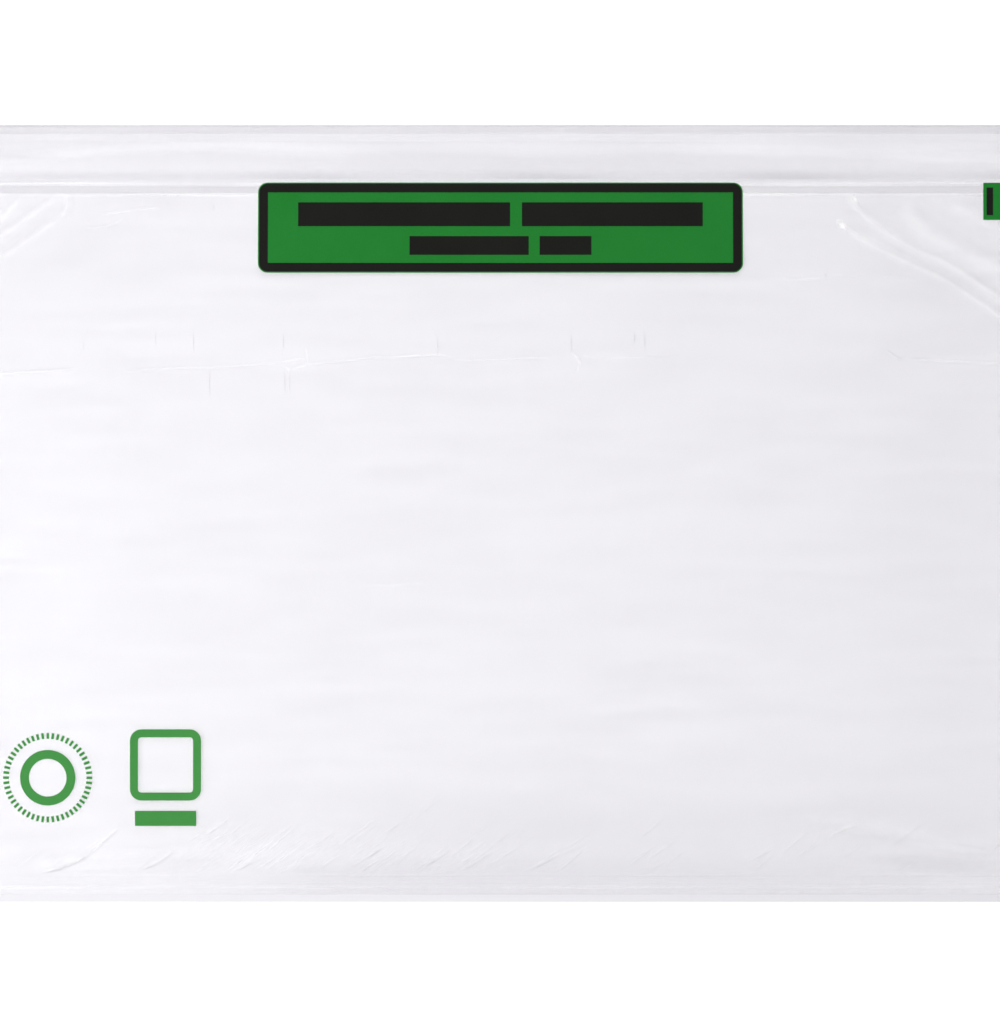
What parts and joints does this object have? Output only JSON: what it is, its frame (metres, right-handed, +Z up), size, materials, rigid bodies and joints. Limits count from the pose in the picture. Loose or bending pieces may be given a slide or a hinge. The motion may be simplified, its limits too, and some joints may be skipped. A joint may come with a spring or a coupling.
{
  "type": "packing list envelope",
  "caption": "Flat self-adhesive document wallet: clear welded film pocket with a printed banner, loaded from behind, on white release paper.",
  "frame": {"origin": "under the middle of the whole outline, at the surface the envelope lies on", "axes": "+Z up out of the printed front, +X along the long side to the right as the print is read, +Y towards the mouth"},
  "size_m": [0.225, 0.165, 0.0012],
  "materials": {
    "clear_film": "clear glossy film with faint streaks, seals and creases",
    "coated_film": "clear film with a coat of adhesive on its back",
    "release_paper": "smooth white release paper",
    "green_ink": "green print on film",
    "black_ink": "black print on film",
    "mark_ink": "lighter green print on film"
  },
  "bodies": {
    "root": {"liner_strip": "release_paper", "liner_panel": "release_paper", "back_strip": "coated_film", "back_panel": "coated_film", "front_film": "clear_film", "banner_ground": "green_ink", "banner_border": "black_ink", "banner_bar_upper_left": "black_ink", "banner_bar_upper_right": "black_ink", "banner_bar_lower_left": "black_ink", "banner_bar_lower_right": "black_ink", "edge_tag": "green_ink", "edge_tag_bar": "black_ink", "round_mark_ring": "mark_ink", "round_mark_centre": "mark_ink", "square_mark_frame": "mark_ink", "square_mark_bar": "mark_ink"}
  },
  "joints": []
}
